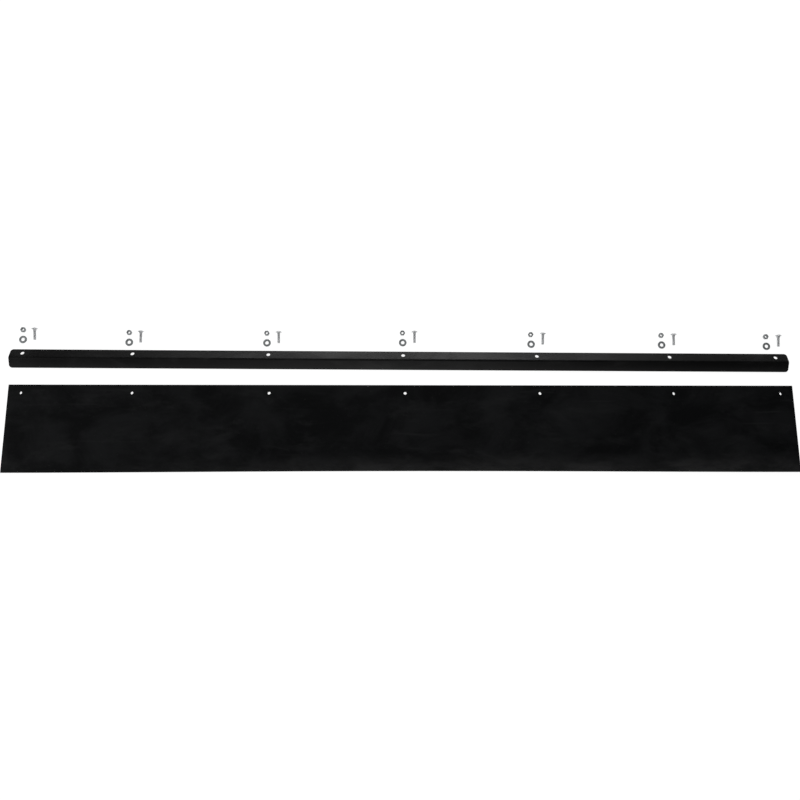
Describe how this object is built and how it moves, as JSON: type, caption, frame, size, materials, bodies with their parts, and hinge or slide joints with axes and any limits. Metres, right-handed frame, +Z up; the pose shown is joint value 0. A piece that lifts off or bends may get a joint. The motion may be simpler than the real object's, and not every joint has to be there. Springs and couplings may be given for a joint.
{
  "type": "atv plow snow deflector kit",
  "caption": "Rubber snow deflector flap for an ATV plow blade, with its bent steel clamp strip and its bolts, washers and nuts laid out loose behind it.",
  "frame": {"origin": "middle hole of the flap's hole row, on the floor under the flap", "axes": "+X along the flap, +Y from the flap towards the strip and the hardware, +Z up from the floor"},
  "size_m": [1.8332, 0.3407, 0.0146],
  "materials": {
    "flap_rubber": "matt black sheet rubber with faint cloudy marks",
    "black_coat": "black powder coat, satin, fine orange peel",
    "bright_zinc": "bright zinc plate, satin",
    "grey_zinc": "dull grey zinc plate"
  },
  "bodies": {
    "flap": {"flap_mounting_edge": "flap_rubber"},
    "apron": {"flap_apron": "flap_rubber"},
    "strip": {"clamp_strip": "black_coat"},
    "bolt_1": {"bolt_1": "bright_zinc"},
    "bolt_2": {"bolt_2": "bright_zinc"},
    "bolt_3": {"bolt_3": "bright_zinc"},
    "bolt_4": {"bolt_4": "bright_zinc"},
    "bolt_5": {"bolt_5": "bright_zinc"},
    "bolt_6": {"bolt_6": "bright_zinc"},
    "bolt_7": {"bolt_7": "bright_zinc"},
    "washer_1": {"washer_1": "grey_zinc"},
    "washer_2": {"washer_2": "grey_zinc"},
    "washer_3": {"washer_3": "grey_zinc"},
    "washer_4": {"washer_4": "grey_zinc"},
    "washer_5": {"washer_5": "grey_zinc"},
    "washer_6": {"washer_6": "grey_zinc"},
    "washer_7": {"washer_7": "grey_zinc"},
    "nut_1": {"nut_1": "grey_zinc"},
    "nut_2": {"nut_2": "grey_zinc"},
    "nut_3": {"nut_3": "grey_zinc"},
    "nut_4": {"nut_4": "grey_zinc"},
    "nut_5": {"nut_5": "grey_zinc"},
    "nut_6": {"nut_6": "grey_zinc"},
    "nut_7": {"nut_7": "grey_zinc"}
  },
  "joints": [
    {"name": "flap_flex", "type": "hinge", "parent": "flap", "child": "apron", "pos_m": [0, -0.0381, 0.00635], "axis": [-1, 0, 0], "range_deg": [0, 60], "stiffness_Nm_per_rad": 2.6},
    {"name": "strip_lift", "type": "slide", "parent": "flap", "child": "strip", "axis": [0, 0, 1], "range_m": [0, 0.1]},
    {"name": "bolt_1_lift", "type": "slide", "parent": "flap", "child": "bolt_1", "axis": [0, 0, 1], "range_m": [0, 0.05]},
    {"name": "bolt_2_lift", "type": "slide", "parent": "flap", "child": "bolt_2", "axis": [0, 0, 1], "range_m": [0, 0.05]},
    {"name": "bolt_3_lift", "type": "slide", "parent": "flap", "child": "bolt_3", "axis": [0, 0, 1], "range_m": [0, 0.05]},
    {"name": "bolt_4_lift", "type": "slide", "parent": "flap", "child": "bolt_4", "axis": [0, 0, 1], "range_m": [0, 0.05]},
    {"name": "bolt_5_lift", "type": "slide", "parent": "flap", "child": "bolt_5", "axis": [0, 0, 1], "range_m": [0, 0.05]},
    {"name": "bolt_6_lift", "type": "slide", "parent": "flap", "child": "bolt_6", "axis": [0, 0, 1], "range_m": [0, 0.05]},
    {"name": "bolt_7_lift", "type": "slide", "parent": "flap", "child": "bolt_7", "axis": [0, 0, 1], "range_m": [0, 0.05]},
    {"name": "washer_1_lift", "type": "slide", "parent": "flap", "child": "washer_1", "axis": [0, 0, 1], "range_m": [0, 0.05]},
    {"name": "washer_2_lift", "type": "slide", "parent": "flap", "child": "washer_2", "axis": [0, 0, 1], "range_m": [0, 0.05]},
    {"name": "washer_3_lift", "type": "slide", "parent": "flap", "child": "washer_3", "axis": [0, 0, 1], "range_m": [0, 0.05]},
    {"name": "washer_4_lift", "type": "slide", "parent": "flap", "child": "washer_4", "axis": [0, 0, 1], "range_m": [0, 0.05]},
    {"name": "washer_5_lift", "type": "slide", "parent": "flap", "child": "washer_5", "axis": [0, 0, 1], "range_m": [0, 0.05]},
    {"name": "washer_6_lift", "type": "slide", "parent": "flap", "child": "washer_6", "axis": [0, 0, 1], "range_m": [0, 0.05]},
    {"name": "washer_7_lift", "type": "slide", "parent": "flap", "child": "washer_7", "axis": [0, 0, 1], "range_m": [0, 0.05]},
    {"name": "nut_1_lift", "type": "slide", "parent": "flap", "child": "nut_1", "axis": [0, 0, 1], "range_m": [0, 0.05]},
    {"name": "nut_2_lift", "type": "slide", "parent": "flap", "child": "nut_2", "axis": [0, 0, 1], "range_m": [0, 0.05]},
    {"name": "nut_3_lift", "type": "slide", "parent": "flap", "child": "nut_3", "axis": [0, 0, 1], "range_m": [0, 0.05]},
    {"name": "nut_4_lift", "type": "slide", "parent": "flap", "child": "nut_4", "axis": [0, 0, 1], "range_m": [0, 0.05]},
    {"name": "nut_5_lift", "type": "slide", "parent": "flap", "child": "nut_5", "axis": [0, 0, 1], "range_m": [0, 0.05]},
    {"name": "nut_6_lift", "type": "slide", "parent": "flap", "child": "nut_6", "axis": [0, 0, 1], "range_m": [0, 0.05]},
    {"name": "nut_7_lift", "type": "slide", "parent": "flap", "child": "nut_7", "axis": [0, 0, 1], "range_m": [0, 0.05]}
  ]
}
